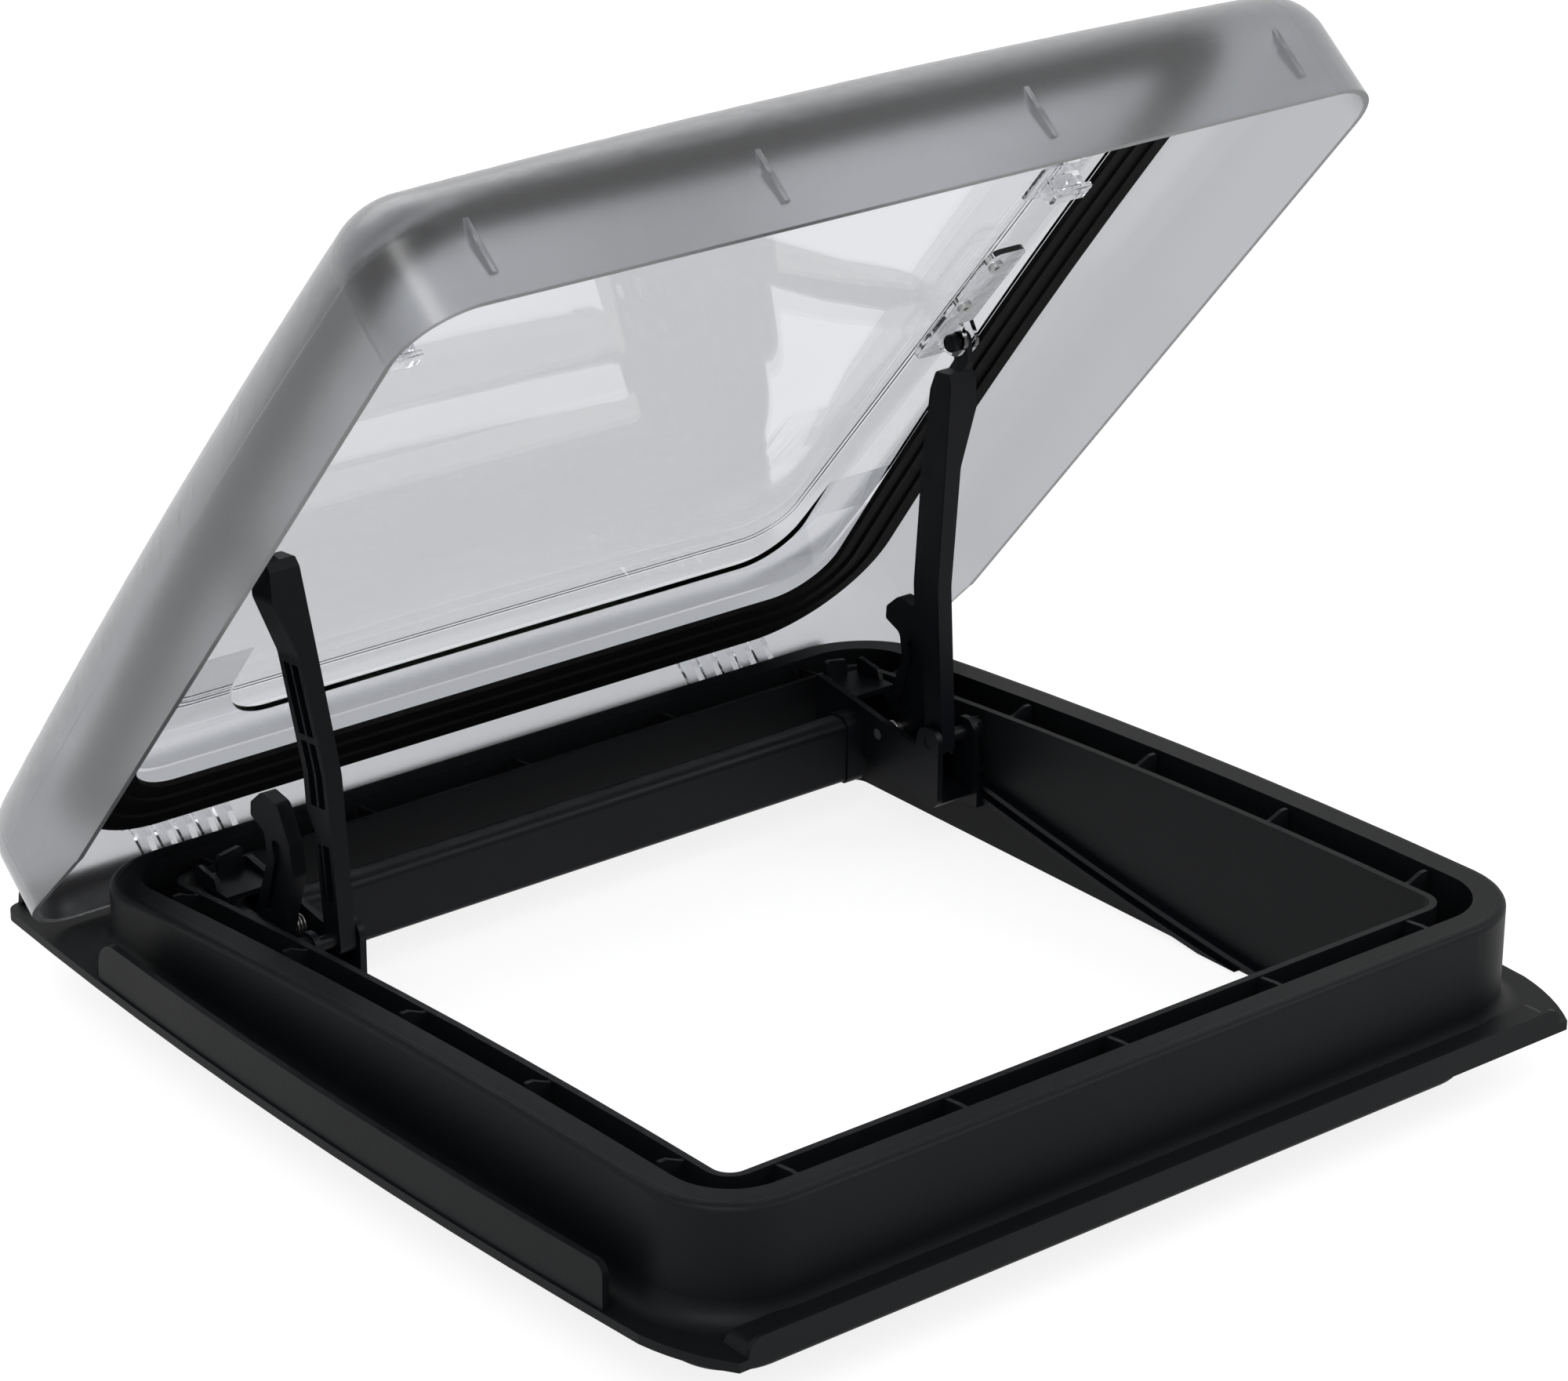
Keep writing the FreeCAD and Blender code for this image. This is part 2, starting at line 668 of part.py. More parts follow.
def lid_hinge(side):
    """Comb of knuckles that hangs from the ring of the pane down to the hinge pin."""
    plates = []
    under = rim_level(hinge_y) + gasket_clearance + gasket_thick
    base_top = under + 6.5
    for i in range(knuckles_on_lid):
        x = side * hinge_station + (i - (knuckles_on_lid - 1) / 2) * knuckle_pitch
        x0 = x - knuckle_thick / 2
        x1 = x + knuckle_thick / 2
        eye = rod(x0, x1, hinge_y, hinge_z, knuckle_radius)
        web = prism("yz", [(hinge_y - knuckle_radius, hinge_z, 0), (hinge_y + knuckle_radius, hinge_z, 0),
                           (hinge_y + knuckle_radius, base_top, 0), (hinge_y - 6.5, base_top, 0),
                           (hinge_y - 6.5, base_top - 12, 4)], x0, x1)
        plates += [eye, web]
    length = knuckles_on_lid * knuckle_pitch
    back_plate = box(side * hinge_station - length / 2, side * hinge_station + length / 2,
                     hinge_y - 8, hinge_y + knuckle_radius, base_top - 2.5, base_top)
    comb = fused([back_plate] + plates)
    return comb.cut(hinge_bore()[0 if side < 0 else 1])


def bracket_top():
    """Underside of the pane's raised middle, lid closed, less a hair."""
    return spigot_depth + pane_level - 0.1


def lid_bracket():
    """Clear clevis for the right arm: a screwed foot and two ears round the arm's eye."""
    top = bracket_top()
    pin = arm_pin_closed()
    outer_edge = arm_eye_x + arm_eye_thick + side_clearance + ear_thick
    front = pin.y - bracket_foot_front
    rear = pin.y + bracket_foot_rear
    foot = prism("xy", [(bracket_x, front, 5), (outer_edge, front, 5), (outer_edge, rear, 5),
                        (bracket_x, rear, 5)], top - bracket_foot_thick, top)
    ears = []
    inner_ear = arm_eye_x - side_clearance - ear_thick
    outer_ear = arm_eye_x + arm_eye_thick + side_clearance
    for x0 in (inner_ear, outer_ear):
        tip = pin.z - ear_half_tip
        corners = [(pin.y - ear_front_foot, top, 0), (pin.y - ear_half_tip, tip, ear_tip_radius),
                   (pin.y + ear_half_tip, tip, ear_tip_radius), (pin.y + ear_rear_foot, top, 0)]
        ears.append(prism("yz", corners, x0, x0 + ear_thick))
    body = fused([foot] + ears)
    relief = box(inner_ear + ear_thick, outer_ear, pin.y - 8, pin.y + 8, top - 4, top - 1)
    body = body.cut(relief).cut(rod(cross_near, cross_far, pin.y, pin.z, arm_pin_radius + running_clearance))
    for y in screw_places():
        hole = Part.makeCylinder(bracket_screw_radius, 30, Vector(bracket_screw_x, y, top - 20))
        body = body.cut(hole)
    return body


def screw_places():
    pin = arm_pin_closed()
    return (pin.y - screw_front, pin.y - screw_rear)


def bracket_screws():
    """Two button-head screws through the foot of each lid bracket."""
    top = bracket_top()
    made = []
    for y in screw_places():
        seat = top - bracket_foot_thick
        shank = Part.makeCylinder(bracket_screw_radius - 0.02, bracket_foot_thick,
                                  Vector(bracket_screw_x, y, seat))
        crown = seat - screw_head_height
        head = Part.makeCylinder(screw_head_radius, screw_head_height, Vector(bracket_screw_x, y, crown))
        socket = prism("xy", hexagon(bracket_screw_x, y, screw_socket_radius), crown - 0.5, seat - 0.7)
        screw = shank.fuse(head).cut(socket)
        made += [screw, mirrored(screw)]
    return Part.makeCompound(made)


def hexagon(x, y, radius):
    return [(x + radius * math.cos(math.pi / 3 * i), y + radius * math.sin(math.pi / 3 * i), 0)
            for i in range(6)]


def arm_pin_closed():
    """Upper arm pivot when the lid is closed."""
    place = Part.Vertex(Vector(0, arm_top_y, arm_top_z))
    place.rotate(hinge_point, x_axis, open_angle)
    return place.Point


def lid_catch():
    """Clear catch near the free edge, with a ledge that the hook lever's nose comes under."""
    top = bracket_top()
    front = catch_y - catch_depth
    tip = top - catch_reach
    outer = catch_x + catch_width
    foot = box(catch_x - 2, outer + 2, front - 6, catch_y + 8, top - 2.4, top)
    lip = prism("yz", [(front, top, 0), (catch_y, top, 0), (catch_y, tip + 4, 3), (catch_y - 2.5, tip, 1.5),
                       (front - 3, tip, 0.8), (front - 3, tip + 2.5, 0.8), (front, tip + 2.5, 0)],
                catch_x, outer)
    recess = box(catch_x + 2.5, outer - 2.5, front + 2.4, catch_y + 1, tip + 2.6, top - 2.4)
    return fused([foot, lip]).cut(recess)


# ================================================================ arms
def arm_outer(share_of_length, foot_z):
    """Outer face of the shank, in line from the lean's start to the elbow."""
    run = (share_of_length - arm_lean_start) / (arm_elbow - arm_lean_start)
    start = arm_x + arm_foot_thick + 1
    return start + (arm_elbow_x - start) * max(run, 0.0), foot_z + share_of_length


def arm():
    """Right arm: a channelled shank that leans outwards to a head with an eye above it."""
    foot = Vector(0, arm_foot_y, arm_foot_z)
    head = Vector(0, arm_top_y, arm_top_z)
    length = (head - foot).Length
    z0 = foot.z
    y0 = foot.y
    front = y0 - arm_foot_front
    head_front = front - 1.5
    head_rear = y0 + 7.5
    top = z0 + length - 12
    side_view = prism("yz", [(front, z0 - 6.5, 4), (y0 + arm_foot_rear, z0 - 6.5, 4),
                             (y0 + arm_foot_rear, z0 + arm_step, 2),
                             (y0 + arm_shank_rear, z0 + arm_step + 9, 3),
                             (y0 + arm_shank_rear - 1, z0 + arm_elbow, 20), (head_rear, top - 8, 3),
                             (head_rear - 3, top, 1), (y0 + arm_eye_radius, top + 2, 0.5),
                             (y0 + arm_eye_radius, z0 + length + arm_eye_radius, arm_eye_radius - 0.1),
                             (y0 - arm_eye_radius, z0 + length + arm_eye_radius, arm_eye_radius - 0.1),
                             (y0 - arm_eye_radius, top + 3, 0.5), (head_front + 2, top, 1),
                             (head_front, top - 4, 1.5), (head_front, z0 + arm_elbow, 20)],
                      cross_near, cross_far)
    eye_out = arm_eye_x + arm_eye_thick
    outer_foot = arm_x + arm_foot_thick
    front_view = prism("xz", [(arm_x, z0 - 8, 0), (outer_foot, z0 - 8, 0),
                              (outer_foot + 1, z0 + arm_lean_start, 25), (arm_elbow_x, z0 + arm_elbow, 12),
                              (eye_out, top - arm_head_length + 12, 6), (eye_out, z0 + length + 10, 0),
                              (arm_eye_x, z0 + length + 10, 0), (arm_eye_x, top + 3, 1),
                              (arm_eye_x - 3, top, 0.5), (arm_head_inner_x, top, 1),
                              (arm_x + 0.8, z0 + arm_lean_start, 25)], y0 - 30, y0 + 30)
    body = side_view.common(front_view)
    for channel in arm_channels(z0, y0):
        body = body.cut(channel)
    turn = math.degrees(math.atan2(head.y - foot.y, head.z - foot.z))
    body.rotate(foot, x_axis, -turn)
    body = body.cut(rod(cross_near, cross_far, head.y, head.z, arm_pin_radius + running_clearance))
    return body.cut(rod(cross_near, cross_far, foot.y, foot.z, foot_pin_radius + running_clearance))


def arm_channels(z0, y0):
    """Recesses along the outer face of the shank, with ribs left between them."""
    depth = 3.2
    pockets = []
    for low, high in ((16, 40), (56, 84), (87, arm_elbow - 4)):
        for near, far in ((-2.8, 1.4), (3.0, 7.2 if low > arm_step else 4.6)):
            low_x, low_z = arm_outer(low, z0)
            high_x, high_z = arm_outer(high, z0)
            corners = [(low_x - depth, low_z, 0.8), (cross_far, low_z, 0), (cross_far, high_z, 0),
                       (high_x - depth, high_z, 0.8)]
            pockets.append(prism("xz", corners, y0 + near, y0 + far))
    return pockets


def arm_pin():
    """Headed pin through the lid bracket and the arm's eye."""
    y = arm_top_y
    z = arm_top_z
    inner = arm_eye_x - side_clearance - ear_thick - 0.2
    outer = arm_eye_x + arm_eye_thick + side_clearance + ear_thick
    shank = rod(inner - 1, outer - 0.1, y, z, arm_pin_radius)
    head = rod(inner - arm_pin_head_length, inner, y, z, arm_pin_head)
    rim = [edge for edge in head.Edges if abs(edge.BoundBox.XMax - inner + arm_pin_head_length) < 1e-3]
    return shank.fuse(head.makeFillet(0.8, rim)).removeSplitter()


# ================================================================ sliding bow
def carriage_plate():
    """Right side of the bow: a cheek each side of the arm and hook, joined by a floor."""
    inner_x = plate_inner_x
    outer_x = outer_plate_x + plate_thick
    profile = [(plate_front, plate_front_bottom, 5), (plate_back, plate_back_bottom, 3),
               (plate_back, plate_back_top, 2), (plate_front, plate_front_top, 4)]
    block = prism("yz", profile, inner_x, outer_x)
    pocket = [(plate_front - 2, plate_front_bottom + 3, 0), (plate_back + 2, plate_back_bottom + 3, 0),
              (plate_back + 2, plate_back_top + 9, 0), (plate_front - 2, plate_front_top + 9, 0)]
    block = block.cut(prism("yz", pocket, inner_x + plate_thick, outer_plate_x))
    low_cheek = [(plate_front - 2, plate_front_top - 12, 0), (hook_pivot_y - 14, plate_front_top - 8, 4),
                 (hook_pivot_y - 8, hook_pivot_z + 7, 3), (hook_pivot_y + 9, hook_pivot_z + 7, 3),
                 (plate_back + 5, plate_back_bottom + 12, 0),
                 (plate_back + 5, plate_back_top + 20, 0), (plate_front - 2, plate_front_top + 30, 0)]
    block = block.cut(prism("yz", low_cheek, outer_plate_x - 0.5, outer_x + 1))
    front = arm_foot_y - carriage_eye
    rear = arm_foot_y + carriage_eye
    top = arm_foot_z + carriage_eye
    root = plate_front_bottom + 8
    eye = prism("yz", [(front, root, 0), (arm_foot_y + 8, root, 0), (rear, top, 6), (front, top, 6)],
                outer_plate_x, outer_x)
    inner_eye = prism("yz", [(front, root, 0), (arm_foot_y + 14, root, 0), (rear, top, 6), (front, top, 6)],
                      inner_x, inner_x + plate_thick)
    block = fused([block, eye, inner_eye] + carriage_shelf())
    block = block.cut(rod(cross_near, cross_far, arm_foot_y, arm_foot_z, foot_pin_radius))
    return block.cut(rod(cross_near, cross_far, hook_pivot_y, hook_pivot_z, hook_pin_radius))


def carriage_shelf():
    """Shelf behind the hook with two upright tabs."""
    inner = plate_inner_x + plate_thick - 0.5
    outer = outer_plate_x + plate_thick + 2.5
    shelf = box(inner, outer, shelf_y, plate_back, shelf_z, shelf_z + 2.4)
    post = box(outer_plate_x, outer_plate_x + plate_thick, shelf_y, plate_back - 4,
               plate_back_bottom, shelf_z + 1)
    rear_tab = prism("xz", [(inner + 2, shelf_z, 0), (inner + 14, shelf_z, 0), (inner + 14, shelf_z + 10, 2),
                            (inner + 2, shelf_z + 12, 2)], plate_back - 2.2, plate_back)
    side_tab = prism("yz", [(shelf_y + 6, shelf_z, 0), (plate_back, shelf_z, 0), (plate_back, shelf_z + 9, 2),
                            (shelf_y + 9, shelf_z + 7, 2)], outer - 2.2, outer)
    return [shelf, post, rear_tab, side_tab]


def foot_pin():
    """Knurled-end pin that joins the arm's foot to the carriage."""
    y = arm_foot_y
    z = arm_foot_z
    shank = rod(plate_inner_x + 0.3, outer_plate_x + plate_thick + 1.5, y, z, foot_pin_radius - 0.01)
    head = rod(outer_plate_x + plate_thick + 0.1, outer_plate_x + plate_thick + 4.5, y, z, foot_pin_head)
    pin = shank.fuse(head)
    rim = foot_pin_head + 0.2
    for i in range(foot_pin_grooves):
        turn = 2 * math.pi * i / foot_pin_grooves
        groove = rod(outer_plate_x + plate_thick, outer_plate_x + plate_thick + 6,
                     y + rim * math.cos(turn), z + rim * math.sin(turn), 0.8)
        pin = pin.cut(groove)
    return pin


def handle_section(grow):
    """Corners of the bar's D-shaped section, shrunk by grow."""
    return [(bar_front + grow, bar_bottom + grow, 3 - grow * 0.5),
            (bar_front + bar_depth - grow, bar_bottom + grow, 3 - grow * 0.5),
            (bar_front + bar_depth - grow, bar_top - grow, 7 - grow),
            (bar_front + grow, bar_top - grow, 4.5 - grow * 0.5)]


def handle_bar():
    """Hollow grip bar between the two carriage plates."""
    half = plate_inner_x - bar_collar
    bar = prism("yz", handle_section(0), -half, half)
    return bar.cut(prism("yz", handle_section(bar_wall), -half - 1, half + 1))


def bar_end_cap():
    """Rounded collar and plug that join the bar to the right carriage plate."""
    x0 = plate_inner_x - bar_collar + 0.1
    collar = prism("yz", handle_section(-0.8), x0, plate_inner_x - 0.1)
    plug = prism("yz", handle_section(bar_wall + 0.15), x0 - 18, x0 + 1)
    return fused([collar, plug])


def slide_shoe():
    """Clip that rides on the upper ridge of the right guide rail."""
    x0 = outer_plate_x + plate_thick + 0.15
    x1 = inner_half - rail_web - 0.6
    y0 = plate_front + 1
    y1 = y0 + shoe_length
    ridge = foot_path(0).z - rail_drop
    low = ridge - ridge_pitch - ridge_height - rail_ease - shoe_play
    high = ridge + rail_ease + shoe_play
    block = box(x0, x1, y0, y1, low - 2.0, high + 2.6)
    slot_x = inner_half - ridge_depth - 0.6
    slot = box(slot_x, x1 + 1, y0 - 1, y1 + 1, low, high)
    leg = box(x0, x0 + 1.8, y0, y1, low - 2.0, plate_front_top - 4)
    return fused([block.cut(slot), leg])


def hook_lever():
    """Right hook lever: a bent blade with a nose at its head, on its pivot pin."""
    y = hook_pivot_y
    z = hook_pivot_z
    top = hook_top
    corners = [(y - 7, z - 6, 4), (y + 7, z - 6, 4), (y + 9, z + 8, 5), (y - 1, z + 34, 5),
               (y + 1, top - 17, 4), (y + 10.5, top - 13, 1.5), (y + 10, top - 7, 2),
               (y + 2, top, 4), (y - 9, top - 2, 4), (y - 17, top - 17, 6), (y - 19, z + 32, 6)]
    blade = prism("yz", corners, hook_x, hook_x + hook_thick)
    lighten = [(y - 4, z + 9, 2), (y + 2, z + 9, 2), (y - 6, z + 34, 2), (y - 4, top - 18, 2),
               (y - 12, top - 19, 2), (y - 15, z + 33, 2)]
    pocket = prism("yz", lighten, hook_x - 1, hook_x + 2).fuse(
        prism("yz", lighten, hook_x + hook_thick - 2, hook_x + hook_thick + 1))
    blade = blade.cut(pocket)
    return blade.cut(rod(cross_near, cross_far, y, z, hook_pin_radius + running_clearance))


def hook_pin():
    return rod(plate_inner_x + 0.3, outer_plate_x + plate_thick - 0.2, hook_pivot_y, hook_pivot_z,
               hook_pin_radius - 0.01)


def hook_spring():
    """Torsion spring round the hook pin, between the inner cheek and the hook."""
    x0 = plate_inner_x + plate_thick + 0.6
    radius = hook_pin_radius + spring_wire / 2 + 0.65
    rings = []
    for i in range(spring_turns):
        x = x0 + spring_wire / 2 + i * (spring_wire + spring_gap)
        ring = Part.makeTorus(radius, spring_wire / 2, Vector(x, hook_pivot_y, hook_pivot_z), x_axis)
        rings.append(ring)
    return Part.makeCompound(rings)


def export(name, shape):
    shape.exportStep("parts/" + name + ".step")
    print(name, "solids", len(shape.Solids), "valid", shape.isValid(), "volume", round(shape.Volume))


def main():
    os.makedirs("parts", exist_ok=True)
    export("outer_frame", outer_frame())
    export("inner_frame", inner_frame())
    rail = guide_rail()
    export("guide_rail_right", rail)
    export("guide_rail_left", mirrored(rail))
    export("hinge_pin_left", hinge_pin(-1))
    export("hinge_pin_right", hinge_pin(1))

    export("outer_dome", opened(outer_dome()))
    export("inner_pane", opened(inner_pane()))
    export("lid_gasket", opened(lid_gasket()))
    export("lid_hinge_left", opened(lid_hinge(-1)))
    export("lid_hinge_right", opened(lid_hinge(1)))
    bracket = lid_bracket()
    export("lid_bracket_right", opened(bracket))
    export("lid_bracket_left", opened(mirrored(bracket)))
    export("bracket_screws", opened(bracket_screws()))
    catch = lid_catch()
    export("lid_catch_right", opened(catch))
    export("lid_catch_left", opened(mirrored(catch)))

    pieces = {"arm": arm(), "arm_pin": arm_pin(), "carriage_plate": carriage_plate(),
              "foot_pin": foot_pin(), "bar_end_cap": bar_end_cap(), "slide_shoe": slide_shoe(),
              "hook_lever": hook_lever(), "hook_pin": hook_pin(), "hook_spring": hook_spring()}
    for name, shape in pieces.items():
        export(name + "_right", shape)
        export(name + "_left", mirrored(shape))
    export("handle_bar", handle_bar())


main()
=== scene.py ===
import json
import math

import bpy
import numpy as np
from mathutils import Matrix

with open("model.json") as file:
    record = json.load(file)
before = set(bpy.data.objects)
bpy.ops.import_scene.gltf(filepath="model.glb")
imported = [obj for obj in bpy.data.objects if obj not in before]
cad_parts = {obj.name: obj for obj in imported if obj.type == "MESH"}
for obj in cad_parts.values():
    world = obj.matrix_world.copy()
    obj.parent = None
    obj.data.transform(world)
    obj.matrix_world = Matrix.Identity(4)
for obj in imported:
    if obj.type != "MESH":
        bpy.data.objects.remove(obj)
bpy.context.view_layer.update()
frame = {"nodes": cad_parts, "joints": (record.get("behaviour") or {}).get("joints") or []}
nodes = frame["nodes"]
print("frame loaded:", len(nodes), "nodes")


# One socket of a material, so that sums on values are written as sums; node() makes any other node.
class Wire:
    def __init__(self, tree, socket=None):
        self.tree = tree
        self.socket = socket

    def node(self, kind, settings, sockets, output=0):
        made = self.tree.nodes.new(kind)
        for name, value in settings.items():
            setattr(made, name, value)
        for name, value in sockets.items():
            if isinstance(value, Wire):
                self.tree.links.new(value.socket, made.inputs[name])
            else:
                made.inputs[name].default_value = value
        return Wire(self.tree, made.outputs[output])

    def maths(self, operation, second=0.0):
        return self.node("ShaderNodeMath", {"operation": operation}, {0: self, 1: second})

    def __add__(self, other):
        return self.maths("ADD", other)

    def __sub__(self, other):
        return self.maths("SUBTRACT", other)

    def __mul__(self, other):
        return self.maths("MULTIPLY", other)

    def __rsub__(self, other):
        return self.node("ShaderNodeMath", {"operation": "SUBTRACT"}, {0: other, 1: self})

    def __abs__(self):
        return self.maths("ABSOLUTE")

    __radd__ = __add__
    __rmul__ = __mul__


def newFinish(name):
    material = bpy.data.materials.new(name)
    material.use_nodes = True
    tree = material.node_tree
    tree.nodes.clear()
    return material, Wire(tree)


# The surface shader and its output: plain numbers go on its own sockets, wires carry what varies.
def closeFinish(wire, sockets):
    shader = wire.node("ShaderNodeBsdfPrincipled", {}, sockets)
    output = wire.tree.nodes.new("ShaderNodeOutputMaterial")
    wire.tree.links.new(shader.socket, output.inputs["Surface"])


def noise(wire, place, scale, detail=2.0, roughness=0.5):
    return wire.node("ShaderNodeTexNoise", {}, {"Vector": place, "Scale": scale, "Detail": detail,
                                               "Roughness": roughness})


def objectPlace(wire):
    return wire.node("ShaderNodeTexCoord", {}, {}, "Object")


def mixColours(wire, share, first, second):
    return wire.node("ShaderNodeMix", {"data_type": "RGBA"}, {"Factor": share, 6: first, 7: second}, 2)


def bumpFrom(wire, height):  # height in metres
    return wire.node("ShaderNodeBump", {}, {"Height": height, "Strength": 1.0, "Distance": 1.0})


def eased(wire, value, low, high):  # 0 below low, 1 above high, smooth between
    return wire.node("ShaderNodeMapRange", {"interpolation_type": "SMOOTHSTEP"},
                     {"Value": value, "From Min": low, "From Max": high, "To Min": 0.0, "To Max": 1.0})


# Distance from a square with rounded corners, negative inside it, seen from above.
def squareDistance(wire, place, half, radius):
    axes = wire.node("ShaderNodeSeparateXYZ", {}, {"Vector": place})
    acrossX = abs(axes) - (half - radius)
    acrossY = abs(Wire(wire.tree, axes.socket.node.outputs["Y"])) - (half - radius)
    beyondX = acrossX.maths("MAXIMUM", 0.0)
    beyondY = acrossY.maths("MAXIMUM", 0.0)
    corner = (beyondX * beyondX + beyondY * beyondY).maths("POWER", 0.5)
    inside = acrossX.maths("MAXIMUM", acrossY).maths("MINIMUM", 0.0)
    return corner + inside - radius


# Moulded plastic: spark-eroded grain, soft flow marks in the gloss, a slight drift of the colour,
# and on the frame the fine raised line where the mould's halves met, along the rim.
def mouldedFinish(name, look):
    material, wire = newFinish(name)
    place = objectPlace(wire)
    grain = noise(wire, place, look["grainPerMetre"], 2.0, 0.6)
    flow = noise(wire, place, look["flowPerMetre"], 3.0)
    drift = noise(wire, place, look["driftPerMetre"])
    colour = mixColours(wire, drift, look["darkColour"], look["lightColour"])
    height = grain * look["grainHeight"]
    if "seamHalf" in look:
        seam = abs(squareDistance(wire, place, look["seamHalf"], look["seamCorner"]))
        height = height + (1 - eased(wire, seam, 0.0, look["seamWidth"])) * look["seamHeight"]
    roughness = flow * look["glossDrift"] + grain * look["grainGloss"] + look["roughness"]
    closeFinish(wire, {"Base Color": colour, "Roughness": roughness, "Normal": bumpFrom(wire, height),
                       "IOR": look["bend"], "Specular IOR Level": look["shine"]})
    return material


# The lid's own place: the mesh stands open, so this turns it shut about the hinge.
def shutPlace(wire):
    hinge = next(joint for joint in frame["joints"] if joint["name"] == "lid_hinge")
    _, hingeY, hingeZ = hinge["pos_m"]
    turn = math.radians(hinge["range_deg"][1])
    shift = (0.0, hingeY - hingeY * math.cos(turn) + hingeZ * math.sin(turn),
             hingeZ - hingeY * math.sin(turn) - hingeZ * math.cos(turn))
    return wire.node("ShaderNodeMapping", {"vector_type": "POINT"},
                     {"Vector": objectPlace(wire), "Rotation": (turn, 0.0, 0.0), "Location": shift})


# Clear or smoked moulding. Outside the band it is more frosted and painted darker, a painted shade standing
# for the dark seal and room seen through the skirt; ripples bend the reflections.
def clearFinish(name, look):
    material, wire = newFinish(name)
    place = shutPlace(wire) if "bandHalf" in look else objectPlace(wire)
    ripple = noise(wire, place, look["ripplePerMetre"])
    haze = noise(wire, place, look["hazePerMetre"], 3.0)
    colour = mixColours(wire, haze, look["colour"], look["hazeColour"])
    roughness = haze * look["hazeGloss"] + look["roughness"]
    if "bandHalf" in look:
        fromBand = squareDistance(wire, place, look["bandHalf"], look["bandCorner"])
        frostAndPaintedShade = eased(wire, fromBand, 0.0, look["bandBlend"])
        # The skirt's darker colour here is painted shade for the dark seal and room seen through it; the
        # added roughness is frost.
        colour = mixColours(wire, frostAndPaintedShade, colour, look["paintedSkirtShade"])
        roughness = roughness + frostAndPaintedShade * look["bandFrost"]
    closeFinish(wire, {"Base Color": colour, "Roughness": roughness, "IOR": look["bend"],
                       "Transmission Weight": 1.0, "Normal": bumpFrom(wire, ripple * look["rippleHeight"])})
    return material


# Turned or formed steel: fine scratches across the polish and a little dulling.
def steelFinish(name, look):
    material, wire = newFinish(name)
    place = objectPlace(wire)
    stretched = wire.node("ShaderNodeMapping", {"vector_type": "POINT"},
                          {"Vector": place, "Scale": look["grainAspect"]})
    scratches = noise(wire, stretched, look["scratchesPerMetre"], 3.0, 0.7)
    dulling = noise(wire, place, look["dullingPerMetre"])
    colour = mixColours(wire, dulling, look["brightColour"], look["dullColour"])
    roughness = scratches * look["scratchGloss"] + look["roughness"]
    closeFinish(wire, {"Base Color": colour, "Roughness": roughness,
                       "Metallic": 1.0, "Normal": bumpFrom(wire, scratches * look["scratchHeight"])})
    return material


# Lengths are in metres, and a look's "bend" is the refractive index.
frameLook = {
    "darkColour": (0.0018, 0.0022, 0.0027, 1), "lightColour": (0.0036, 0.0042, 0.0050, 1), "shine": 0.10,
    "bend": 1.5, "roughness": 0.40, "glossDrift": 0.08, "grainGloss": 0.10, "grainPerMetre": 1500.0,
    "flowPerMetre": 22.0, "driftPerMetre": 8.8, "grainHeight": 0.00007,
    "seamHalf": 0.2076, "seamCorner": 0.0358, "seamWidth": 0.0005, "seamHeight": 0.0001,
}
nylonLook = {
    "darkColour": (0.0010, 0.0014, 0.0022, 1), "lightColour": (0.0024, 0.0030, 0.0044, 1), "shine": 0.11,
    "bend": 1.5, "roughness": 0.34, "glossDrift": 0.08, "grainGloss": 0.08, "grainPerMetre": 2100.0,
    "flowPerMetre": 40.0, "driftPerMetre": 16.0, "grainHeight": 0.00004,
}
rubberLook = {
    "darkColour": (0.0030, 0.0030, 0.0030, 1), "lightColour": (0.0055, 0.0055, 0.0053, 1), "shine": 0.08,
    "bend": 1.5, "roughness": 0.55, "glossDrift": 0.08, "grainGloss": 0.10, "grainPerMetre": 2600.0,
    "flowPerMetre": 30.0, "driftPerMetre": 12.0, "grainHeight": 0.00005,
}
domeLook = {
    "colour": (0.79, 0.795, 0.81, 1), "hazeColour": (0.83, 0.835, 0.85, 1), "roughness": 0.0,
    "hazeGloss": 0.03, "bend": 1.49, "ripplePerMetre": 6.0, "rippleHeight": 0.00006, "hazePerMetre": 7.0,
    "bandHalf": 0.204, "bandCorner": 0.046, "bandBlend": 0.010,
    # The skirt's darker tint on the next line is painted shade for the dark seal and room seen through it.
    "paintedSkirtShade": (0.49, 0.50, 0.52, 1), "bandFrost": 0.24,
}
paneLook = {  # bends little, which keeps its reflections faint
    "colour": (0.84, 0.845, 0.86, 1), "hazeColour": (0.88, 0.885, 0.895, 1), "roughness": 0.0,
    "hazeGloss": 0.02, "bend": 1.09, "ripplePerMetre": 8.0, "rippleHeight": 0.00004, "hazePerMetre": 12.0,
}
clearPartLook = dict(paneLook, bend=1.4, ripplePerMetre=140.0, rippleHeight=0.00015, hazePerMetre=90.0,
                     hazeGloss=0.12)
pinLook = {
    "brightColour": (0.62, 0.62, 0.61, 1), "dullColour": (0.46, 0.46, 0.45, 1), "roughness": 0.22,
    "scratchGloss": 0.15, "scratchesPerMetre": 900.0, "dullingPerMetre": 160.0, "grainAspect": (0.15, 1, 1),
    "scratchHeight": 0.00003,
}
springLook = dict(pinLook, brightColour=(0.40, 0.39, 0.37, 1), dullColour=(0.28, 0.27, 0.26, 1),
                  roughness=0.3)

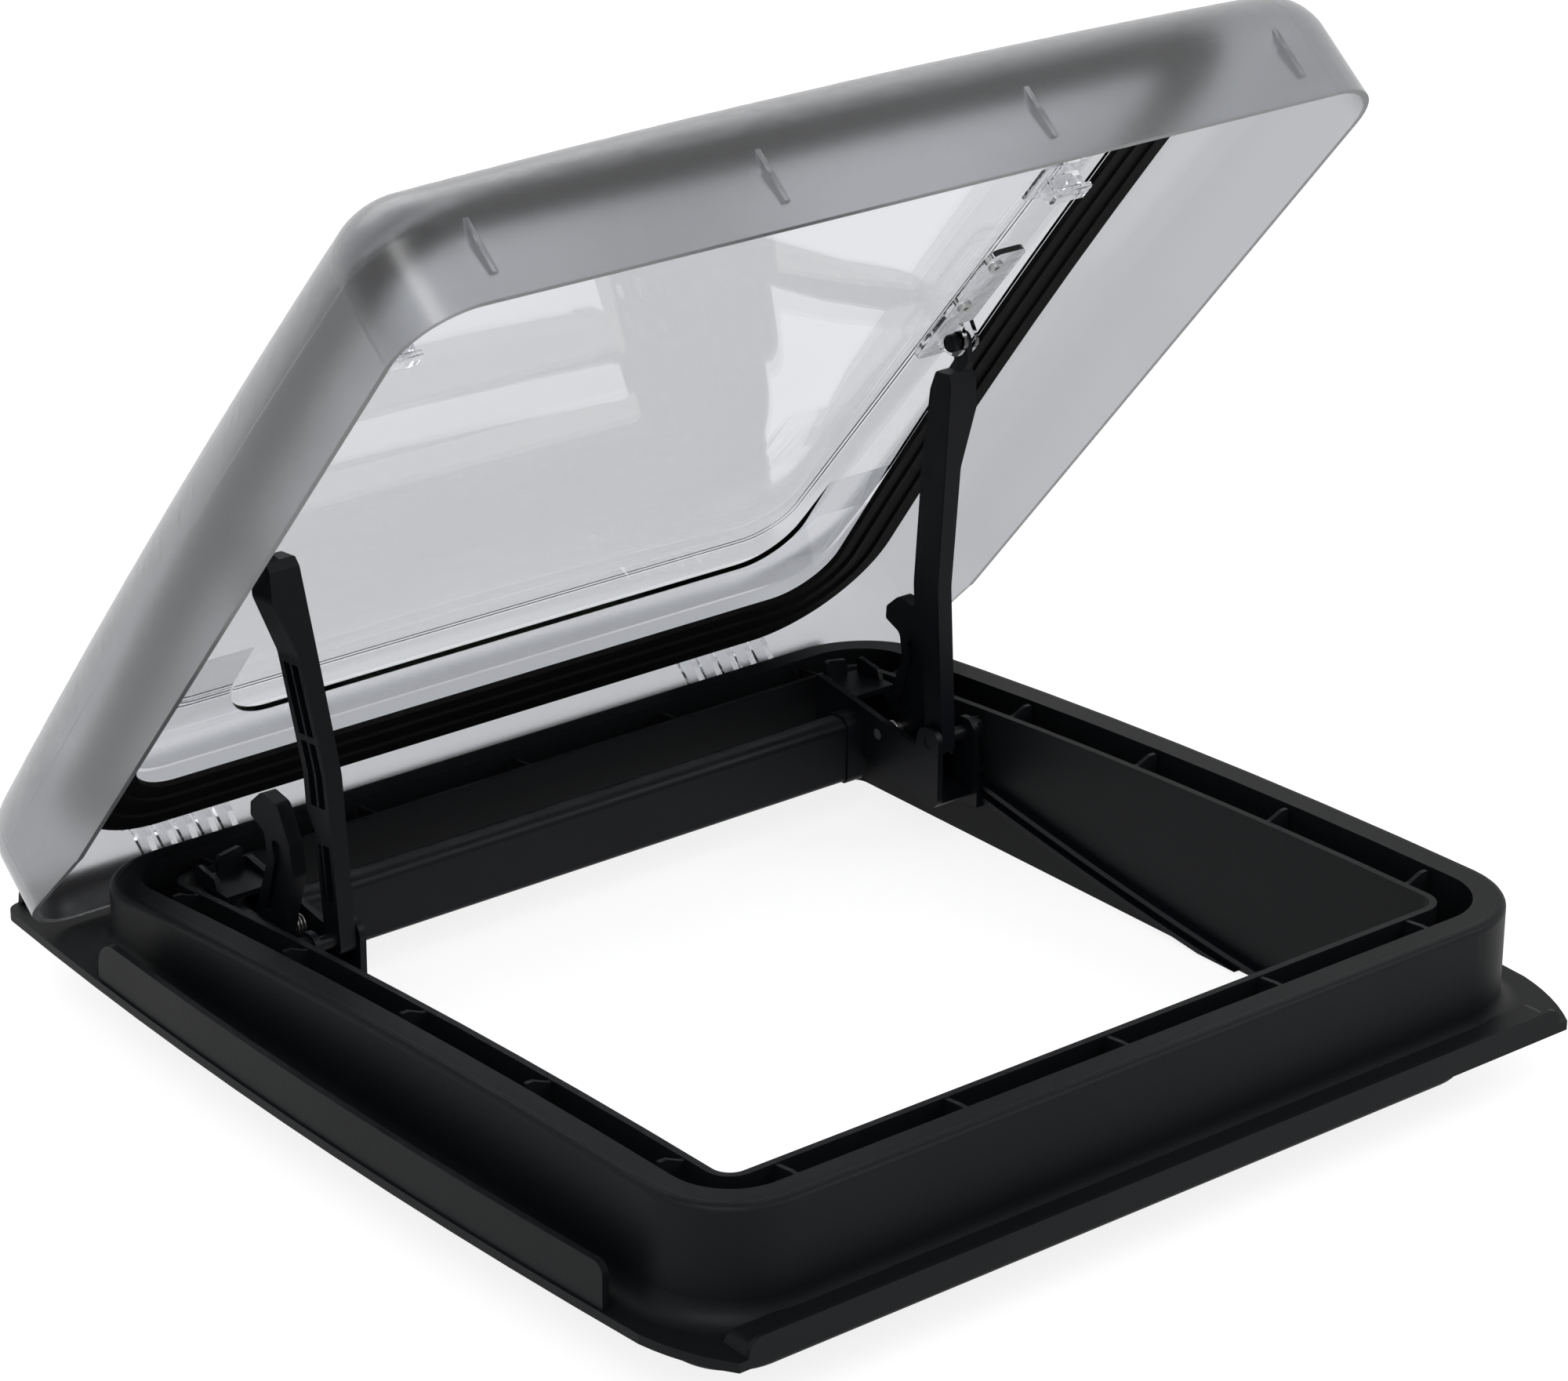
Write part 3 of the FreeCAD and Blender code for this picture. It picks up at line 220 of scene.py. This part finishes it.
finishes = {
    "framePlastic": mouldedFinish("framePlastic", frameLook),
    "armNylon": mouldedFinish("armNylon", nylonLook),
    "sealRubber": mouldedFinish("sealRubber", rubberLook),
    "smokeAcrylic": clearFinish("smokeAcrylic", domeLook),
    "paneAcrylic": clearFinish("paneAcrylic", paneLook),
    "clearAcrylic": clearFinish("clearAcrylic", clearPartLook),
    "pinSteel": steelFinish("pinSteel", pinLook),
    "springSteel": steelFinish("springSteel", springLook),
}
nodeFinish = {
    "outer_frame": "framePlastic", "inner_frame": "framePlastic", "guide_rail": "armNylon",
    "hinge_pin": "pinSteel", "outer_dome": "smokeAcrylic", "inner_pane": "paneAcrylic",
    "lid_gasket": "sealRubber", "lid_hinge": "clearAcrylic", "lid_bracket": "clearAcrylic",
    "bracket_screws": "pinSteel", "lid_catch": "clearAcrylic", "arm": "armNylon", "arm_pin": "armNylon",
    "carriage_plate": "armNylon", "foot_pin": "armNylon", "bar_end_cap": "armNylon",
    "slide_shoe": "armNylon", "hook_lever": "armNylon", "hook_pin": "pinSteel",
    "hook_spring": "springSteel", "handle_bar": "armNylon",
}
for name, node in nodes.items():
    kind = name.removesuffix("_left").removesuffix("_right")
    node.data.materials.clear()
    node.data.materials.append(finishes[nodeFinish[kind]])
print("finishes set on", len(nodes), "nodes")

# The floor is a wide sheet under the frame, lit from below; three soft boxes stand in a white room.
studio = {
    "floorHalf": 6.0, "floorLevel": -0.0004, "floorColour": (0.16, 0.16, 0.16, 1), "floorRoughness": 0.8,
    "floorGlow": 0.84, "roomStrength": 1.0, "white": (1, 1, 1, 1),
    "boxes": [  # place, aim, width, height, watts
        ((-1.6, -1.2, 2.2), (0, 0, 0.1), 1.8, 1.4, 45.0),
        ((1.8, -1.6, 1.8), (0, 0, 0.1), 1.4, 1.4, 25.0),
        ((0.3, 2.0, 2.0), (0, 0, 0.2), 2.4, 1.2, 12.0),
    ],
}
half, level = studio["floorHalf"], studio["floorLevel"]
floorMesh = bpy.data.meshes.new("floor")
floorMesh.from_pydata([(-half, -half, level), (half, -half, level), (half, half, level),
                       (-half, half, level)], [], [(0, 1, 2, 3)])
floor = bpy.data.objects.new("floor", floorMesh)
bpy.context.scene.collection.objects.link(floor)
floorMaterial, floorWire = newFinish("paleFloor")
closeFinish(floorWire, {"Base Color": studio["floorColour"], "Roughness": studio["floorRoughness"],
                        "Emission Color": studio["white"], "Emission Strength": studio["floorGlow"]})
floorMesh.materials.append(floorMaterial)
world = bpy.data.worlds.new("studioRoom")
world.use_nodes = True
background = world.node_tree.nodes["Background"]
background.inputs["Color"].default_value = studio["white"]
background.inputs["Strength"].default_value = studio["roomStrength"]
bpy.context.scene.world = world
for index, (place, aim, width, height, watts) in enumerate(studio["boxes"]):
    lamp = bpy.data.lights.new(f"softBox{index}", "AREA")
    lamp.shape = "RECTANGLE"
    lamp.size, lamp.size_y, lamp.energy = width, height, watts
    lampObject = bpy.data.objects.new(lamp.name, lamp)
    direction = np.array(aim) - np.array(place)
    flat = math.hypot(direction[0], direction[1])
    lampObject.rotation_euler = (math.atan2(flat, -direction[2]), 0, math.atan2(-direction[0], direction[1]))
    lampObject.location = place
    bpy.context.scene.collection.objects.link(lampObject)

view = {  # lens and sensor in millimetres, turn in degrees
    "place": (-1.15744, -1.41227, 0.94062), "turn": (67.0497, -0.4499, -39.3291), "lens": 115.094,
    "sensor": 36.0, "shift": (-0.02019, -0.02223),
}
cameraData = bpy.data.cameras.new("camera")
cameraData.lens = view["lens"]
cameraData.sensor_width = view["sensor"]
cameraData.shift_x, cameraData.shift_y = view["shift"]
camera = bpy.data.objects.new("camera", cameraData)
camera.location = view["place"]
camera.rotation_euler = [math.radians(angle) for angle in view["turn"]]
bpy.context.scene.collection.objects.link(camera)
bpy.context.scene.camera = camera
bpy.context.scene.view_settings.view_transform = "Standard"
print("studio and camera set")
